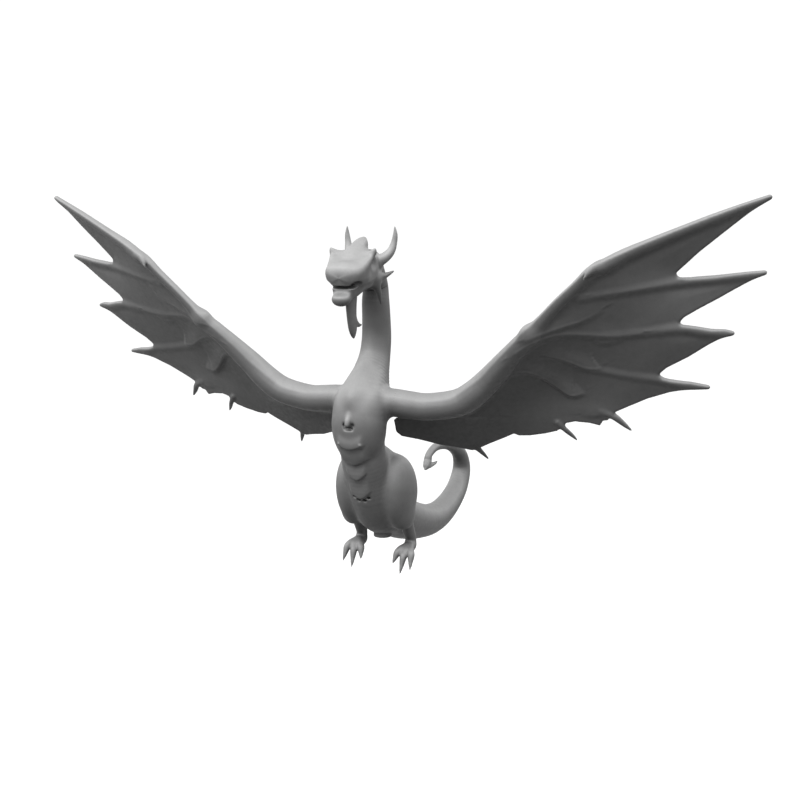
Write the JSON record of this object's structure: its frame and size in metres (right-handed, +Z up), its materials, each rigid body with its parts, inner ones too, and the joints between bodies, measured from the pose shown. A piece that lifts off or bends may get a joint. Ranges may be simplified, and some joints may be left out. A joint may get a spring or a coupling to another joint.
{
  "type": "dragon miniature",
  "caption": "Winged dragon tabletop figure with spread skin wings, horned head and curled tail; wings plug in, head and tail turn.",
  "frame": {"origin": "centre of the mouth of the flight stand socket in the belly", "axes": "+Z up, -Y the way the dragon faces, +X along its left wing; the figure is mirror-symmetric about X = 0"},
  "size_m": [0.2504, 0.1148, 0.1293],
  "materials": {
    "grey_resin": "matte, primer grey",
    "wing_resin": "matte, primer grey, thin section",
    "horn_resin": "matte, primer grey",
    "steel_pin": "drawn rod",
    "magnet_plate": "nickel plated",
    "brass_bush": "turned"
  },
  "bodies": {
    "body": {"chest": "grey_resin", "pelvis": "grey_resin", "neck": "grey_resin", "left_thigh": "grey_resin", "right_thigh": "grey_resin", "left_foot": "grey_resin", "right_foot": "grey_resin", "left_foot_claws": "horn_resin", "right_foot_claws": "horn_resin", "left_shoulder_magnet": "magnet_plate", "right_shoulder_magnet": "magnet_plate", "neck_pin": "steel_pin", "waist_pin": "steel_pin", "hip_pins": "steel_pin", "ankle_pins": "steel_pin", "head_pin": "steel_pin", "tail_pin": "steel_pin", "stand_socket_bush": "brass_bush"},
    "head": {"skull": "grey_resin", "lower_jaw": "grey_resin", "left_horn": "horn_resin", "right_horn": "horn_resin", "head_crest": "grey_resin", "left_brow_spike": "grey_resin", "right_brow_spike": "grey_resin", "left_cheek_frill": "grey_resin", "right_cheek_frill": "grey_resin", "chin_beard": "grey_resin"},
    "tail": {"tail_base": "grey_resin", "tail_curl": "grey_resin", "tail_barb": "horn_resin", "curl_pin": "steel_pin"},
    "left_pin": {"left_shoulder_pin": "steel_pin"},
    "right_pin": {"right_shoulder_pin": "steel_pin"},
    "left_wing": {"left_wing_arm": "grey_resin", "left_wing_skin": "wing_resin", "left_thumb_claw": "horn_resin"},
    "right_wing": {"right_wing_arm": "grey_resin", "right_wing_skin": "wing_resin", "right_thumb_claw": "horn_resin"}
  },
  "joints": [
    {"name": "head_turn", "type": "hinge", "parent": "body", "child": "head", "pos_m": [0, -0.0052, 0.088], "axis": [0, -0.2924, 0.9563], "range_deg": [-30, 30]},
    {"name": "tail_turn", "type": "hinge", "parent": "body", "child": "tail", "pos_m": [0, 0.024, -0.0008], "axis": [0, 0.9511, -0.309], "range_deg": [-20, 20]},
    {"name": "left_wing_unplug", "type": "slide", "parent": "body", "child": "left_pin", "axis": [1, 0, 0], "range_m": [0, 0.012]},
    {"name": "left_wing_swivel", "type": "hinge", "parent": "left_pin", "child": "left_wing", "pos_m": [0.012, -0.0133, 0.0505], "axis": [1, 0, 0], "range_deg": [-15, 15]},
    {"name": "right_wing_unplug", "type": "slide", "parent": "body", "child": "right_pin", "axis": [-1, 0, 0], "range_m": [0, 0.012]},
    {"name": "right_wing_swivel", "type": "hinge", "parent": "right_pin", "child": "right_wing", "pos_m": [-0.012, -0.0133, 0.0505], "axis": [1, 0, 0], "range_deg": [-15, 15]}
  ]
}
